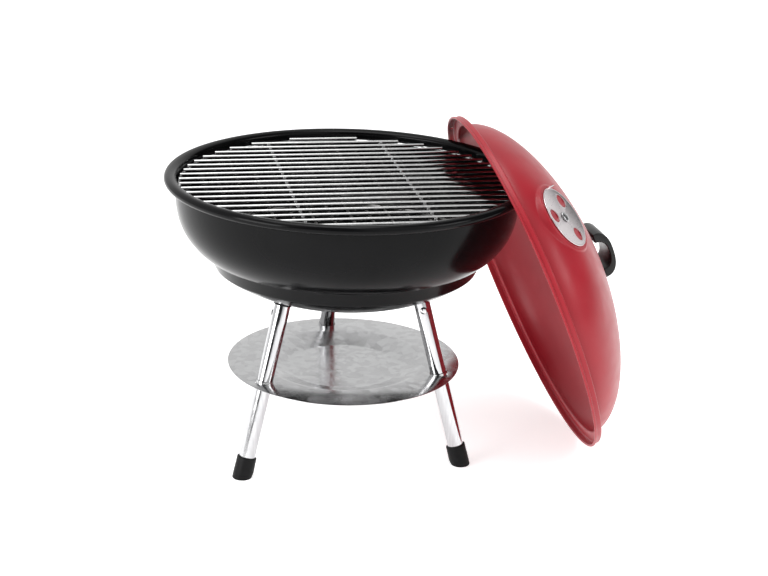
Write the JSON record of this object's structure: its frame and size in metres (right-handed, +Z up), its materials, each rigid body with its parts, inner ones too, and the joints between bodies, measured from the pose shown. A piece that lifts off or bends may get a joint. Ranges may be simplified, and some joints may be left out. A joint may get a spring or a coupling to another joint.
{
  "type": "kettle charcoal grill",
  "caption": "Tabletop kettle charcoal grill: black bowl with wire grates on splayed tube legs, ash plate, vented domed lid leaning on the rim.",
  "frame": {"origin": "on the floor below the middle of the whole object's box, with the lid leaning", "axes": "+Z up, +X the way the lid leans away from the bowl"},
  "size_m": [0.4579, 0.3648, 0.3394],
  "materials": {
    "black_enamel": "gloss",
    "red_enamel": "gloss",
    "galvanised_sheet": "bright galvanised",
    "zinc_steel": "satin",
    "damper_steel": "satin",
    "plain_steel_wire": "satin",
    "chrome_tube": "polished",
    "chrome_wire": "polished",
    "bright_screws": "polished",
    "foot_rubber": "matt",
    "handle_plastic": "satin"
  },
  "bodies": {
    "bowl": {"bowl": "black_enamel", "bowl_damper_rivet": "zinc_steel", "leg_socket_1": "black_enamel", "leg_socket_2": "black_enamel", "leg_socket_3": "black_enamel", "leg_1": "chrome_tube", "leg_2": "chrome_tube", "leg_3": "chrome_tube", "leg_screws": "bright_screws", "foot_1": "foot_rubber", "foot_2": "foot_rubber", "foot_3": "foot_rubber", "ash_plate": "galvanised_sheet", "grate_rests": "black_enamel"},
    "bowl_damper": {"bowl_damper": "zinc_steel"},
    "cooking_grate": {"cooking_grate_ring": "chrome_wire", "cooking_grate_cross_wires": "chrome_wire", "cooking_grate_rods": "chrome_wire"},
    "coal_grate": {"coal_grate_ring": "plain_steel_wire", "coal_grate_cross_wires": "plain_steel_wire", "coal_grate_rods": "plain_steel_wire"},
    "lid": {"lid_shell": "red_enamel", "lid_damper_rivet": "zinc_steel", "handle": "handle_plastic", "handle_spacers": "zinc_steel", "handle_screws": "bright_screws"},
    "lid_damper": {"lid_damper": "damper_steel"}
  },
  "joints": [
    {"name": "lid_swing", "type": "hinge", "parent": "bowl", "child": "lid", "pos_m": [-0.04999, 0, 0.09579], "axis": [0, -1, 0], "range_deg": [0, 68]},
    {"name": "cooking_grate_tip", "type": "hinge", "parent": "bowl", "child": "cooking_grate", "pos_m": [0.03001, 0, 0.2795], "axis": [0, -1, 0], "range_deg": [-28, 0]},
    {"name": "coal_grate_lift", "type": "slide", "parent": "bowl", "child": "coal_grate", "axis": [0, 0, 1], "range_m": [0, 0.03]},
    {"name": "lid_damper_turn", "type": "hinge", "parent": "lid", "child": "lid_damper", "pos_m": [0.14002, -0.10474, 0.27145], "axis": [0.6531, -0.401, 0.6424], "range_deg": [-60, 0]},
    {"name": "bowl_damper_turn", "type": "hinge", "parent": "bowl", "child": "bowl_damper", "pos_m": [-0.04999, 0, 0.1707], "axis": [0, 0, 1], "range_deg": [-60, 0]}
  ]
}
